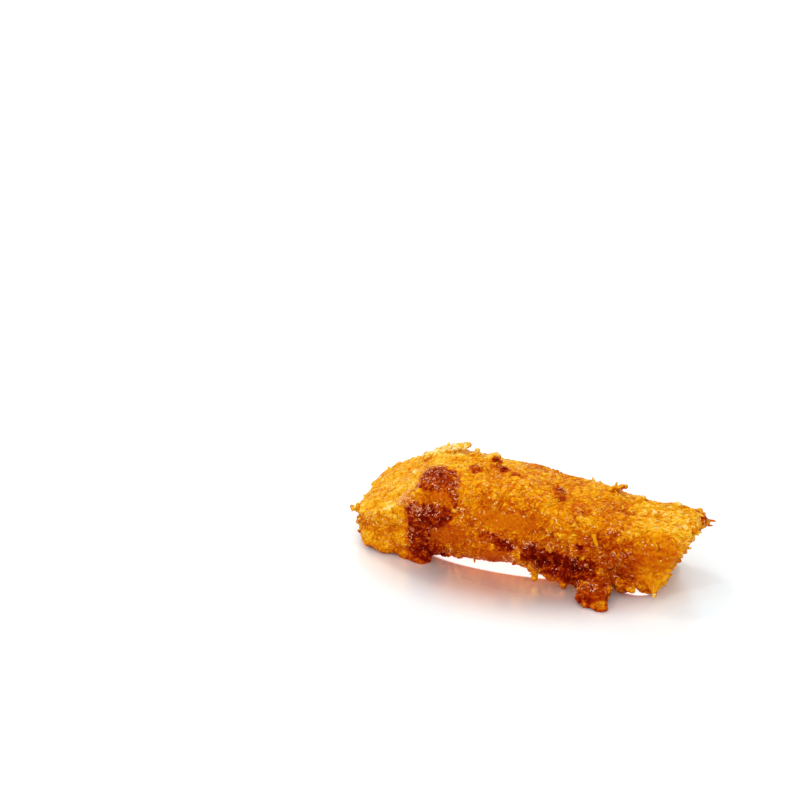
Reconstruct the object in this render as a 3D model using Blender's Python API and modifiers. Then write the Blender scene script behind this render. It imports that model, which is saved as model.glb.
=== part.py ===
"""A deep-fried cassava fry: one chunky log in a craggy crust, cut slantwise at one end and torn to shreds
at the other, lying on a flat surface with the crumbs, drips and flaps that the frying left on it."""

import math
import random

import bmesh
import bpy
from mathutils import Matrix, Vector, noise

MM = 0.001
SEED = 11

# Sizes and places below are millimetres. They are measured from a point under the middle of the log:
# X runs along the log to its torn end, -Y is its front, Z is up from the surface that it lies on.
BOX_CENTRE = Vector((-4.6, -3.65, 0.0))

# The log's sections: place along X, sideways shift, half width, lowest and highest point.
SECTIONS = (
    (-47.4, 1.8, 7.2, 1.4, 12.6),
    (-43.0, -0.5, 10.9, -0.4, 17.2),
    (-33.0, -0.6, 12.3, -1.0, 22.0),
    (-16.0, 0.0, 11.7, 1.1, 22.4),
    (0.0, 0.0, 11.6, 1.2, 21.4),
    (14.0, 0.0, 11.2, 0.0, 18.2),
    (27.0, 0.0, 10.6, -0.2, 17.0),
    (43.0, 0.6, 9.8, 1.6, 15.6),
)
LOG_SMOOTHING = 3
RELIEF_GRID = 1.7

# The slanted cut at the left end and the undercut break at the right end: a point of each and its outward normal.
SLANT_POINT = Vector((-28.4, -3.0, 20.8))
SLANT_NORMAL = Vector((-0.55, -0.14, 0.82))
BREAK_POINT = Vector((30.6, -10.0, 2.6))
BREAK_NORMAL = Vector((0.89, -0.09, -0.44))

# Browned, thicker patches of crust: centre and reach along X, Y and Z.
BROWN_PATCHES = (
    ((-25.2, -6.0, 19.6), (5.4, 5.6, 4.6)),
    ((-26.0, -11.6, 8.6), (6.6, 4.0, 7.4)),
    ((-8.8, -11.8, 9.2), (5.0, 4.0, 3.2)),
    ((8.0, -11.6, 5.0), (13.0, 4.0, 5.0)),
    ((18.2, -11.0, 9.6), (10.0, 4.0, 7.4)),
    ((-15.0, 12.0, 9.0), (10.0, 4.0, 6.5)),
    ((12.0, 11.8, 7.0), (12.0, 4.0, 5.0)),
)
PATCH_RISE = 0.5
PATCH_EDGE = 1.25
PATCH_STEEPNESS = 2.0
PATCH_WANDER = 0.5
PATCH_WANDER_SIZE = 4.0

# The crust's relief: the size of its swellings and crags, how high they stand, and the crags' mean to take off.
BROAD_SIZE = 11.0
BROAD_RISE = 0.9
CRAG_SIZE = 2.8
CRAG_RISE = 2.6
PATCH_CRAG_RISE = 1.2
CRAG_MEAN = 0.34
CRAG_OCTAVES = 2

# How far a lump's points stand in and out of its round form, as a share of its radius.
LUMP_ROUGHNESS = 0.16

# The crust flap that stands out at the foot of the front: its root, its foot, its width and thickness, and
# how much longer its slab is than the way from root to foot, so that it sits in the crust. The lobes along
# its edges: how far across and along the flap, and their width.
FLAP_ROOT = Vector((15.2, -9.4, 4.8))
FLAP_FOOT = Vector((16.8, -18.4, 1.3))
FLAP_WIDTH = 8.4
FLAP_THICKNESS = 3.4
FLAP_OVERLAP = 1.5
LOBE_DEPTH = 0.9
LOBE_HEIGHT = 0.8
FLAP_LOBES = ((-0.30, 0.98, 3.6), (0.24, 1.12, 4.2), (-0.34, 0.45, 3.4), (0.36, 0.55, 3.2), (0.05, 0.7, 3.8))

# The thin strip of crust that lifts off the far edge of the top: its two ends and its thickness.
STRIP_START = Vector((-32.5, 5.6, 19.8))
STRIP_END = Vector((-22.8, 6.8, 23.6))
STRIP_THICKNESS = 1.8
STRIP_PIECES = 6
STRIP_PIECE_LENGTH = 4.0
STRIP_BOW = 0.5

# Thick ledges of crust along the foot of the front: start, end, width at the start and at the end.
LEDGES = (
    ((-4.0, -10.2, 4.8), (11.5, -10.6, 2.9), 5.4, 5.4),
    ((20.5, -10.0, 2.9), (28.8, -9.4, 2.8), 4.6, 3.6),
    ((-41.0, -9.8, 1.7), (-29.0, -10.8, 1.5), 5.8, 4.8),
    ((-41.0, -9.2, 5.0), (-30.0, -10.3, 4.8), 5.4, 4.6),
)

# Frayed drips, hooks and curls, given in the same way. All runs are lumps of RUN_STEP widths apart.
FRAYS = (
    ((0.6, -11.4, 3.8), (0.8, -12.6, 2.0), 3.2, 1.8),
    ((7.4, -11.8, 2.8), (8.0, -12.8, 1.0), 2.8, 1.8),
    ((24.0, -10.6, 2.6), (24.6, -12.4, 2.0), 2.2, 1.6),
    ((29.4, -10.0, 2.6), (30.2, -12.0, 1.9), 2.2, 1.5),
    ((-43.6, -3.8, 7.0), (-47.8, -4.8, 8.0), 2.8, 1.6),
    ((-45.0, -2.0, 3.4), (-46.8, -2.8, 3.2), 2.4, 1.8),
    ((14.2, 5.6, 18.4), (17.6, 5.2, 20.2), 1.9, 1.3),
    ((20.0, 5.6, 16.4), (22.0, 5.4, 18.0), 2.4, 1.6),
    ((-20.0, 5.4, 21.2), (-19.4, 5.4, 23.2), 2.0, 1.4),
    ((-16.4, 4.8, 21.6), (-14.6, 5.0, 22.6), 3.0, 2.4),
)

RUN_STEP = 0.9
RUN_STRAY = 0.12
RUN_PIECE_LENGTH = 1.5

# Shreds at the torn end, spread over it by a seeded draw: how many, their length and width.
SHRED_COUNT = 13
SHRED_ROOT = Vector((33.4, 0.6, 8.8))
SHRED_RING = (8.6, 6.2)
SHRED_LENGTHS = (1.3, 2.8)
SHRED_WIDTHS = (1.2, 2.0)
SHRED_SPREAD = 0.5
SHRED_STRAY = 0.3
SHRED_ROOT_WIDTH = 1.4
TORN_TIP = Vector((34.6, 5.0, 13.0))
TORN_TIP_END = Vector((37.8, 6.0, 13.8))
TORN_TIP_WIDTHS = (5.0, 2.6)

# Crumbs of crust over the log, also by a seeded draw: how many and how wide.
CRUMB_COUNT = 64
CRUMB_WIDTHS = (1.1, 2.2)
CRUMB_SUNK = 0.3
CRUMB_LOWEST = 1.0

GROUND_SIZE = 200.0

CRUST_COLOUR = (0.62, 0.22, 0.012, 1.0)
CRUST_ROUGHNESS = 0.42


def clear_scene():
    for obj in list(bpy.data.objects):
        bpy.data.objects.remove(obj, do_unlink=True)


def new_collection(name):
    collection = bpy.data.collections.new(name)
    bpy.context.scene.collection.children.link(collection)
    return collection


def mesh_object(name, bm, collection):
    """The object in metres that a bmesh in millimetres becomes."""
    bmesh.ops.recalc_face_normals(bm, faces=bm.faces)
    bmesh.ops.scale(bm, verts=bm.verts, vec=(MM, MM, MM))
    mesh = bpy.data.meshes.new(name)
    bm.to_mesh(mesh)
    bm.free()
    obj = bpy.data.objects.new(name, mesh)
    collection.objects.link(obj)
    return obj


def apply_modifiers(obj):
    """Puts the evaluated mesh in the place of the object's own and clears its modifiers."""
    graph = bpy.context.evaluated_depsgraph_get()
    mesh = bpy.data.meshes.new_from_object(obj.evaluated_get(graph))
    obj.modifiers.clear()
    obj.data = mesh


def section_ring(bm, section):
    """The eight cage points of one section: its corners and the middles of its sides."""
    x, shift, half_width, low, high = section
    middle = (low + high) / 2
    half_height = (high - low) / 2
    around = ((1, 0), (1, 1), (0, 1), (-1, 1), (-1, 0), (-1, -1), (0, -1), (1, -1))
    return [
        bm.verts.new((x, shift + across * half_width, middle + up * half_height))
        for across, up in around
    ]


def log_cage():
    """The log's coarse cage: a loft through its unlike sections, closed at both ends."""
    bm = bmesh.new()
    rings = [section_ring(bm, section) for section in SECTIONS]
    for near, far in zip(rings, rings[1:]):
        for i in range(len(near)):
            j = (i + 1) % len(near)
            bm.faces.new((near[i], near[j], far[j], far[i]))
    bm.faces.new(rings[0])
    bm.faces.new(rings[-1])
    return bm


def cut_end(bm, point, normal):
    """Cuts off what lies beyond a plane and closes the cut."""
    cut = bmesh.ops.bisect_plane(
        bm,
        geom=bm.verts[:] + bm.edges[:] + bm.faces[:],
        plane_co=point * MM,
        plane_no=normal,
        clear_outer=True,
    )
    edges = [item for item in cut["geom_cut"] if isinstance(item, bmesh.types.BMEdge)]
    bmesh.ops.holes_fill(bm, edges=edges)


def cut_ends(obj):
    bm = bmesh.new()
    bm.from_mesh(obj.data)
    cut_end(bm, SLANT_POINT, SLANT_NORMAL)
    cut_end(bm, BREAK_POINT, BREAK_NORMAL)
    bm.to_mesh(obj.data)
    bm.free()


def make_log(name, collection):
    """The plain log with even, fine enough faces to carry the crust's relief."""
    log = mesh_object(name, log_cage(), collection)
    smoothing = log.modifiers.new("smoothing", "SUBSURF")
    smoothing.levels = LOG_SMOOTHING
    smoothing.render_levels = LOG_SMOOTHING
    apply_modifiers(log)
    cut_ends(log)
    even = log.modifiers.new("even faces", "REMESH")
    even.mode = "VOXEL"
    even.voxel_size = RELIEF_GRID * MM
    apply_modifiers(log)
    return log


def patch_cover(point):
    """How far a point lies inside the browned patches: 0 outside, up to 1 in a patch's middle."""
    wander = PATCH_WANDER * noise.noise(point / PATCH_WANDER_SIZE)
    cover = 0.0
    for centre, reach in BROWN_PATCHES:
        away = Vector((point[i] - centre[i]) / reach[i] for i in range(3)).length
        cover = max(cover, PATCH_EDGE - away + wander)
    return min(1.0, max(0.0, PATCH_STEEPNESS * cover))


def crust_rise(point):
    """How high the crust stands at a point of the log."""
    cover = patch_cover(point)
    crag = noise.turbulence(point / CRAG_SIZE, CRAG_OCTAVES, True) - CRAG_MEAN
    rise = BROAD_RISE * noise.noise(point / BROAD_SIZE)
    rise += (CRAG_RISE + PATCH_CRAG_RISE * cover) * crag
    return rise + PATCH_RISE * cover


def raise_crust(log):
    """Moves the log's points in and out by the crust's crags and browned patches."""
    mesh = log.data
    places = [vertex.co / MM for vertex in mesh.vertices]
    normals = [vertex.normal.copy() for vertex in mesh.vertices]
    for vertex, place, normal in zip(mesh.vertices, places, normals):
        vertex.co += normal * crust_rise(place) * MM


def roughen(bm, draw):
    for vertex in bm.verts:
        vertex.co *= 1 + draw.uniform(-LUMP_ROUGHNESS, LUMP_ROUGHNESS)


def lump(draw, place, size, direction, detail):
    """A rough lump in millimetres, its third size along a direction."""
    bm = bmesh.new()
    bmesh.ops.create_icosphere(bm, subdivisions=detail, radius=0.5)
    roughen(bm, draw)
    bmesh.ops.scale(bm, verts=bm.verts, vec=size)
    turn = direction.to_track_quat("Z", "Y").to_matrix()
    bmesh.ops.rotate(bm, verts=bm.verts, matrix=turn)
    bmesh.ops.translate(bm, verts=bm.verts, vec=place)
    return bm


def add_flap(collection, draw):
    """The front flap: a rough slab from its root to its foot, with lobes along its edges."""
    run = FLAP_FOOT - FLAP_ROOT
    slab = (FLAP_WIDTH, FLAP_THICKNESS, run.length * FLAP_OVERLAP)
    mesh_object("flap", lump(draw, FLAP_ROOT + run / 2, slab, run, 2), collection)
    for across, along, width in FLAP_LOBES:
        place = FLAP_ROOT + run * along
        place.x += across * FLAP_WIDTH
        size = (width, width * LOBE_DEPTH, width * LOBE_HEIGHT)
        mesh_object("flap", lump(draw, place, size, Vector((0.0, 0.0, 1.0)), 1), collection)


def add_strip(collection, draw):
    """The strip that lifts off the top: flat lumps on a line that bows up between its ends."""
    run = STRIP_END - STRIP_START
    for i in range(STRIP_PIECES):
        along = i / (STRIP_PIECES - 1)
        place = STRIP_START + run * along
        place.z += STRIP_BOW * math.sin(math.pi * along)
        width = STRIP_THICKNESS * draw.uniform(1.5, 1.9)
        size = (width, STRIP_THICKNESS * draw.uniform(0.9, 1.1), STRIP_PIECE_LENGTH)
        mesh_object("strip", lump(draw, place, size, run, 1), collection)


def add_run(collection, draw, start, end, first, last):
    """A tapering run of rough lumps from a start to an end, each a little out of line."""
    start, end = Vector(start), Vector(end)
    run = end - start
    count = max(2, round(run.length / (RUN_STEP * last)))
    for i in range(count):
        along = i / (count - 1)
        width = first + (last - first) * along
        place = start + run * along
        place += Vector([draw.uniform(-RUN_STRAY, RUN_STRAY) * width for _ in range(3)])
        size = (width * draw.uniform(0.8, 1.1), width * draw.uniform(0.8, 1.1), width * RUN_PIECE_LENGTH)
        mesh_object("run", lump(draw, place, size, run, 1), collection)


def add_shreds(collection, draw):
    """Fibres pulled out of the torn end, fanned about its outward normal."""
    for i in range(SHRED_COUNT):
        turn = 2 * math.pi * (i + draw.uniform(-SHRED_STRAY, SHRED_STRAY)) / SHRED_COUNT
        side, up = math.cos(turn), math.sin(turn)
        root = SHRED_ROOT + Vector((0.5 * SHRED_RING[1] * up, SHRED_RING[0] * side, SHRED_RING[1] * up))
        fan = Vector((1.0, SHRED_SPREAD * side, SHRED_SPREAD * up)).normalized()
        width = draw.uniform(*SHRED_WIDTHS)
        tip = root + fan * draw.uniform(*SHRED_LENGTHS)
        add_run(collection, draw, root - fan * width, tip, width * SHRED_ROOT_WIDTH, width)


def add_crumbs(log, collection, draw):
    """Single crumbs on random faces of the log, off the surface that it lies on."""
    faces = [face for face in log.data.polygons if face.center.z > CRUMB_LOWEST * MM]
    for face in draw.sample(faces, CRUMB_COUNT):
        width = draw.uniform(*CRUMB_WIDTHS)
        size = [width * draw.uniform(0.75, 1.25) for _ in range(3)]
        place = face.center / MM + face.normal * width * (0.5 - CRUMB_SUNK)
        direction = Vector([draw.uniform(-1, 1) for _ in range(3)])
        mesh_object("crumb", lump(draw, place, size, direction, 0), collection)


def add_crust_pieces(log, collection):
    draw = random.Random(SEED)
    add_flap(collection, draw)
    add_strip(collection, draw)
    for fray in LEDGES + FRAYS:
        add_run(collection, draw, *fray)
    add_run(collection, draw, TORN_TIP, TORN_TIP_END, *TORN_TIP_WIDTHS)
    add_shreds(collection, draw)
    add_crumbs(log, collection, draw)


def fuse(log, pieces):
    """Makes the log and all the pieces on it one body."""
    union = log.modifiers.new("fused crust", "BOOLEAN")
    union.operation = "UNION"
    union.operand_type = "COLLECTION"
    union.collection = pieces
    union.solver = "MANIFOLD"
    apply_modifiers(log)
    for piece in list(pieces.objects):
        bpy.data.objects.remove(piece, do_unlink=True)


def drop_scraps(log):
    """Keeps the largest closed skin: drops the loose scraps beside it and fills the hollows inside it."""
    bm = bmesh.new()
    bm.from_mesh(log.data)
    unseen = set(bm.faces)
    bodies = []
    while unseen:
        body = {unseen.pop()}
        rim = list(body)
        while rim:
            near = {other for face in rim for edge in face.edges for other in edge.link_faces}
            rim = list(near & unseen)
            unseen -= near
            body |= near
        bodies.append(body)
    bodies.sort(key=len)
    scraps = [face for body in bodies[:-1] for face in body]
    bmesh.ops.delete(bm, geom=scraps, context="FACES")
    bm.to_mesh(log.data)
    bm.free()


def flatten_foot(log, cutters):
    """Takes off what reaches below the surface, which leaves the small flats that the fry rests on."""
    bm = bmesh.new()
    bmesh.ops.create_cube(bm, size=GROUND_SIZE)
    bmesh.ops.translate(bm, verts=bm.verts, vec=(0, 0, -GROUND_SIZE / 2))
    ground = mesh_object("ground", bm, cutters)
    ground.hide_render = True
    ground.display_type = "WIRE"
    foot = log.modifiers.new("foot", "BOOLEAN")
    foot.operation = "DIFFERENCE"
    foot.object = ground
    foot.solver = "MANIFOLD"
    apply_modifiers(log)


def crust_material():
    material = bpy.data.materials.new("golden crust")
    material.use_nodes = True
    shader = material.node_tree.nodes["Principled BSDF"]
    shader.inputs["Base Color"].default_value = CRUST_COLOUR
    shader.inputs["Roughness"].default_value = CRUST_ROUGHNESS
    shader.inputs["Metallic"].default_value = 0.0
    return material


def build_fry():
    clear_scene()
    collection = new_collection("cassava fry")
    pieces = new_collection("crust pieces")
    cutters = new_collection("cutters")
    fry = make_log("fry", collection)
    raise_crust(fry)
    add_crust_pieces(fry, pieces)
    fuse(fry, pieces)
    flatten_foot(fry, cutters)
    drop_scraps(fry)
    fry.data.transform(Matrix.Translation(-BOX_CENTRE * MM))
    fry.data.materials.clear()
    fry.data.materials.append(crust_material())
    fry.data.shade_smooth()


build_fry()
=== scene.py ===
"""A deep-fried cassava fry on a pale glossy floor: its crust with browned patches, crumbs and shreds."""

import math
import random
from collections import namedtuple

import bmesh
import bpy
import numpy as np
from mathutils import Matrix, Vector, noise
from mathutils.bvhtree import BVHTree


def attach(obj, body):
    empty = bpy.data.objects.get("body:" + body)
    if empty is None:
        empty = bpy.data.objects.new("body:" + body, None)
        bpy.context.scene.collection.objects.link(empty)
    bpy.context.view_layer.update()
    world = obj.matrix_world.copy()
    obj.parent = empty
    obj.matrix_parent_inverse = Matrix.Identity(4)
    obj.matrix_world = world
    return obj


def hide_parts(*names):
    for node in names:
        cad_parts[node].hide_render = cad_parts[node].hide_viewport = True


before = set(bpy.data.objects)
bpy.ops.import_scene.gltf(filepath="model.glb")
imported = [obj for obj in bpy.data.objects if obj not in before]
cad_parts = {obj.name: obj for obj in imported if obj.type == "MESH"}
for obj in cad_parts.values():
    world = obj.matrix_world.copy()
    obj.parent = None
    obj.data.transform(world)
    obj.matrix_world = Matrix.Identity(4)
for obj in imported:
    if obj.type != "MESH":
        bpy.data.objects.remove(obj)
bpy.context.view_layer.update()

MM = 0.001
SEED = 23

# Sizes and places are millimetres, measured as in the part's source from a point under the middle of the log:
# X runs along the log to its torn end, -Y is its front, Z is up. BOX_CENTRE is the frame's origin there.
# A fade is a start along some measure and a span, negative where it runs down. A change is a strength and a
# fade. A noise field is a strength, a size of features and a shift that sets it apart.
BOX_CENTRE = Vector((-4.6, -3.65, 0.0))

# The log's sections: place along X, sideways shift, half width, lowest and highest point.
SECTIONS = (
    (-47.4, 1.8, 7.2, 1.4, 12.6),
    (-43.0, -0.5, 10.9, -0.4, 17.2),
    (-33.0, -0.6, 12.3, -1.0, 22.0),
    (-16.0, 0.0, 11.7, 1.1, 22.4),
    (0.0, 0.0, 11.6, 1.2, 21.4),
    (14.0, 0.0, 11.2, 0.0, 18.2),
    (27.0, 0.0, 10.6, -0.2, 17.0),
    (43.0, 0.6, 9.8, 1.6, 15.6),
)
LOG_SMOOTHING = 3
FINE_GRID = 0.33

# The planes of the slanted cut and of the torn break: a point on each, and the way to what is cut off.
SLANT_POINT = Vector((-28.4, -3.0, 20.8))
SLANT_NORMAL = Vector((-0.55, -0.14, 0.82))
BREAK_POINT = Vector((30.6, -10.0, 2.6))
BREAK_NORMAL = Vector((0.89, 0.04, -0.45))

# Browned patches: centre, reach along X, Y and Z, and how deeply they are browned.
BROWN_PATCHES = (
    ((-25.0, -7.0, 20.8), (5.4, 4.8, 3.4), 0.50),
    ((-28.4, -5.2, 20.6), (2.8, 3.8, 3.4), 0.48),
    ((-27.6, -9.4, 20.0), (2.6, 2.8, 2.4), 0.48),
    ((-21.8, -8.2, 20.8), (2.4, 3.6, 3.4), 0.42),
    ((-19.8, -11.2, 18.4), (1.0, 2.0, 2.4), 0.44),
    ((-25.6, -12.4, 13.4), (6.4, 3.5, 3.6), 0.56),
    ((-29.4, -12.2, 7.0), (2.2, 3.5, 6.5), 0.50),
    ((-27.2, -12.2, 7.6), (1.8, 3.5, 3.2), 0.70),
    ((-25.5, -11.6, 3.0), (5.4, 3.5, 2.8), 0.76),
    ((-11.2, -12.0, 10.0), (3.0, 3.5, 1.4), 0.44),
    ((-7.0, -12.0, 8.3), (3.0, 3.5, 1.9), 0.56),
    ((-0.5, -11.6, 7.2), (3.4, 3.5, 3.2), 0.60),
    ((5.5, -11.8, 5.6), (5.4, 3.5, 3.4), 0.70),
    ((12.0, -12.0, 4.4), (5.4, 4.0, 4.2), 0.70),
    ((18.5, -11.4, 10.6), (8.6, 3.6, 5.2), 0.18),
    ((21.0, -12.0, 5.6), (6.2, 4.2, 3.8), 0.23),
    # The darkest, smallest patch is painted shade for a small hole.
    ((11.8, -12.1, 10.8), (1.1, 2.0, 0.9), 0.95),
    ((16.2, -18.0, 2.0), (6.0, 3.0, 3.4), 0.44),
    ((16.0, -13.4, 3.0), (6.0, 2.6, 3.0), 0.36),
    ((-14.1, 4.2, 21.8), (1.4, 1.3, 1.6), 0.54),
    ((-11.6, 1.0, 21.6), (2.0, 2.0, 1.8), 0.50),
    ((-7.7, -1.0, 22.1), (1.3, 1.2, 1.4), 0.46),
    ((-17.6, -2.0, 22.0), (1.5, 2.4, 1.6), 0.36),
    ((4.2, -4.0, 20.0), (1.7, 3.0, 2.2), 0.48),
    ((10.0, -8.0, 17.4), (1.6, 2.0, 1.8), 0.34),
    ((33.4, 6.0, 15.4), (1.3, 2.2, 1.2), 0.46),
    ((36.8, 5.8, 14.2), (1.7, 2.4, 1.3), 0.42),
    ((-17.0, 12.0, 10.0), (6.4, 4.0, 4.5), 0.60),
    ((-11.0, 12.2, 7.4), (5.0, 4.0, 3.0), 0.52),
    ((-22.0, 12.0, 5.0), (3.2, 4.0, 2.8), 0.66),
    ((2.0, 11.8, 13.2), (3.4, 4.0, 2.2), 0.44),
    ((15.5, 11.6, 5.6), (7.4, 4.0, 3.0), 0.58),
    ((9.6, 12.0, 9.4), (3.0, 4.0, 2.6), 0.48),
    ((23.0, 11.0, 9.0), (3.8, 4.0, 4.4), 0.38),
    ((-37.0, 10.0, 3.6), (5.2, 4.0, 3.0), 0.50),
    ((-31.5, 11.0, 9.0), (2.4, 4.0, 3.8), 0.42),
)

# A patch is squarish and lies askew. Its edge wanders by a broad and a fine noise, and is this soft.
PATCH_SQUARENESS = 2.6
PATCH_SKEW = 0.35
PATCH_WANDERS = ((0.22, 3.2, 0.0), (0.22, 1.1, 40.0))
PATCH_EDGE = 0.3

# Paler spots on the top, given like the patches, and how soft their edge is: painted light.
PAINTED_TOP_LIGHT_SPOTS = (
    ((-27.6, 6.2, 22.0), (7.5, 3.4, 5.0), 0.90),
    ((-26.0, 0.5, 22.5), (11.0, 4.4, 3.0), 0.40),
    ((-14.0, 6.0, 22.0), (9.0, 4.0, 3.0), 0.45),
    ((29.0, -1.0, 17.0), (9.5, 9.0, 2.9), 0.50),
)
PAINTED_TOP_LIGHT_EDGE = 0.4

# Smooth windows in the crust, by centre and reach: darker ones, and ones as pale as the crust round them.
DARK_WINDOWS = (
    ((-23.2, -11.8, 18.4), (3.6, 3.0, 1.5)),
    ((-20.6, -12.6, 8.8), (5.4, 3.0, 3.2)),
    ((-8.0, -11.5, 5.0), (5.0, 3.0, 2.2)),
)
PLAIN_WINDOWS = (
    ((30.0, -9.0, 9.0), (9.0, 6.0, 8.5)),
    ((-7.0, -11.5, 14.6), (9.0, 3.5, 2.6)),
    ((2.0, 12.0, 10.0), (6.0, 4.0, 6.0)),
)
WINDOW_WANDER = (0.2, 3.0, 80.0)
WINDOW_EDGE = 0.4
WINDOW_CHANGE = (0.07, 1.2, -0.5)

# What share of each thing a window's middle lacks.
WINDOW_LOSS = {
    "crags": 0.8, "grains": 0.75, "mottle": 0.6, "crests": 0.5,
    "strands": 0.85, "hooks": 0.6, "glints": 0.5,
}

# The foot of the slanted end, where the ledges' lumps are rounded off: centre and reach.
SOFT_FOOT = ((-35.5, -10.5, 3.5), (8.0, 5.0, 5.0))
SOFT_FOOT_FADE = (1.3, -0.5)
SOFT_ROUNDS = 40
SOFT_SHARE = 0.9

# The crust's relief, from broad swellings over crags to grains, and the torn half's lengthwise fibres.
OCTAVES = 2
TURBULENCE_MEAN = 0.34
SWELLINGS = (0.9, 11.0, 0.0)
CRAG_SIZE = 2.8
CRAG_RISE = 0.6
PATCH_CRAG_RISE = 1.4
PATCH_RISE = 0.5
GRAIN_SIZE = 0.8
GRAIN_RISE = 0.22
PATCH_GRAIN_RISE = 0.40
GRAIN_STRETCH = (0.75, 1.0, 1.0)
GRAIN_BENDS = ((0.7, 1.8, 0.0), (0.7, 1.8, 17.0), (0.7, 1.8, 34.0))
FIBRE_SIZE = 1.2
FIBRE_RISE = 0.3
FIBRE_STRETCH = (0.25, 1.0, 1.0)
FIBRE_FADE = (16.0, 12.0)

# The front crust ends in a step towards the slanted end: where, how high, and where on the front.
CRUST_EDGE = -31.4
CRUST_EDGE_WANDER = (0.35, 2.0, 60.0)
CRUST_STEP = 0.7
CRUST_STEP_SPAN = 0.5
CRUST_STEP_FRONT = (-5.0, -3.0)
CRUST_STEP_TOP = (17.0, -2.0)

# The torn end's hollows, and the blunt clumps that hang out of its rim.
TOOTH_SIZE = 3.2
TOOTH_RISE = 2.2
TOOTH_FADE = (-1.5, 2.0)
CLUMP_COUNT = 46
CLUMP_WIDTHS = (1.0, 2.2)
CLUMP_DEPTHS = (0.6, 1.0)
CLUMP_LENGTHS = (1.2, 2.6)
CLUMP_LEAN = 0.6
CLUMP_WANDER = 0.5

# The rim of the break: how near its plane, how far the surface leans towards it, and how high at least.
CLUMP_RIM = (1.4, (0.05, 0.9), 1.5)
TORN_RIM = (1.6, (0.1, 1.1), 1.2)

# Every added lump is this uneven.
LUMP_UNEVENNESS = 0.16

# The crust flap at the foot of the front, and its lobes: across, along, width.
FLAP_ROOT = Vector((15.2, -9.4, 4.8))
FLAP_FOOT = Vector((16.8, -18.4, 1.3))
FLAP_WIDTH = 8.4
FLAP_THICKNESS = 3.4
FLAP_OVERLENGTH = 1.5
FLAP_LOBES = ((-0.30, 0.98, 3.6), (0.24, 1.12, 4.2), (-0.34, 0.45, 3.4), (0.36, 0.55, 3.2), (0.05, 0.7, 3.8))
LOBE_SHAPE = (1.0, 0.9, 0.8)

# The strip that lifts off the top, and its lumps' widths and depths against its thickness.
STRIP_START = Vector((-32.5, 5.6, 19.8))
STRIP_END = Vector((-22.8, 6.8, 23.6))
STRIP_THICKNESS = 1.8
STRIP_LUMPS = 12
STRIP_ARCH = 0.5
STRIP_WIDTHS = (1.2, 2.0)
STRIP_DEPTHS = (0.6, 1.1)
STRIP_LUMP_LENGTH = 2.6

# Ledges, drips, hooks and the torn tip: start, end, width at the start and at the end.
LEDGES = (
    ((-4.0, -10.2, 4.8), (11.5, -10.6, 2.9), 5.4, 5.4),
    ((20.5, -10.0, 2.9), (28.8, -9.4, 2.8), 4.6, 3.6),
    ((-41.0, -9.8, 1.7), (-29.0, -10.8, 1.5), 5.8, 4.8),
    ((-41.0, -9.2, 5.0), (-30.0, -10.3, 4.8), 5.4, 4.6),
)
FRAYS = (
    ((0.6, -11.4, 3.8), (0.8, -12.6, 2.0), 3.2, 1.8),
    ((7.4, -11.8, 2.8), (8.0, -12.8, 1.0), 2.8, 1.8),
    ((24.0, -10.6, 2.6), (24.6, -12.4, 2.0), 2.2, 1.6),
    ((29.4, -10.0, 2.6), (30.2, -12.0, 1.9), 2.2, 1.5),
    ((-43.6, -3.8, 7.0), (-47.8, -4.8, 8.0), 2.8, 1.6),
    ((-45.0, -2.0, 3.4), (-46.8, -2.8, 3.2), 2.4, 1.8),
    ((14.2, 5.6, 18.4), (17.6, 5.2, 20.2), 1.9, 1.3),
    ((20.0, 5.6, 16.4), (22.0, 5.4, 18.0), 2.4, 1.6),
    ((-20.0, 5.4, 21.2), (-19.4, 5.4, 23.2), 2.0, 1.4),
    ((-16.4, 4.8, 21.6), (-14.6, 5.0, 22.6), 3.0, 2.4),
)
TORN_TIP = ((34.6, 5.0, 13.0), (37.8, 6.0, 13.8), 5.0, 2.6)

# Their lumps: spacing, fewest, and wander, widths and length against the width of the run.
RUN_SPACING = 0.5
RUN_FEWEST = 3
RUN_WANDER = 0.2
RUN_WIDTHS = (0.7, 1.1)
RUN_LENGTH = 1.2

# Lumps that merge with the crust: how many, how wide, how uneven, how high, and the share on plain crust.
BUMP_COUNT = 200
BUMP_WIDTHS = (0.8, 1.9)
BUMP_SHAPE = (0.6, 1.3)
BUMP_LIFT = 0.1
BUMP_PLAIN_SHARE = 0.12

# Tones run from 0, pale, to 1, burnt: the plain crust's, its changes up, down and towards the ends. Paler
# where the crust faces up is painted light, darker low down and at the foot is painted shade, and paler on
# the break's face is painted light.
PLAIN_TONE = 0.40
PAINTED_TOP_LIGHT = (-0.13, -0.1, 1.0)
PAINTED_LOW_SHADE = (0.11, 6.0, -6.0)
PAINTED_FOOT_SHADE = (0.20, 2.0, -2.0)
TORN_FLANK_CHANGE = (-0.10, 23.0, 6.0)
TORN_FLANK_TOP = (9.0, -4.0)
PAINTED_BREAK_LIGHT = (-0.08, -1.5, 1.5)
SLANT_CHANGE = (-0.13, CRUST_EDGE, -1.0)
BROAD_MOTTLE = (0.10, 6.0, 9.0)
FINE_MOTTLE = (0.12, 2.2, 3.0)
PATCH_MOTTLE = (0.6, 1.6, 30.0)

# Painted light and shade: crests are painted paler and creases darker. A gain and the rounds of averaging
# that find them, for fine and coarse ones.
PAINTED_CREST_LIGHT = ((2.1, 4), (0.2, 30))
PAINTED_CREST_LIGHT_LIMITS = (-0.28, 0.24)

# No loose piece reaches lower.
LOWEST_POINT = 0.05

# Crumbs lying half sunk in the crust: how many, how wide, their shape, and the share on plain crust.
CRUMB_COUNT = 1500
CRUMB_WIDTHS = (0.35, 0.9)
CRUMB_SHAPE = ((0.7, 1.5), (0.6, 1.0), (0.35, 0.65))
CRUMB_UNEVENNESS = 0.22
CRUMB_TILT = 0.4
CRUMB_SUNK = 0.14
CRUMB_DARKER = 0.07
CRUMB_PLAIN_SHARE = 0.3
CRUMB_LOWEST = 0.6

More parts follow.
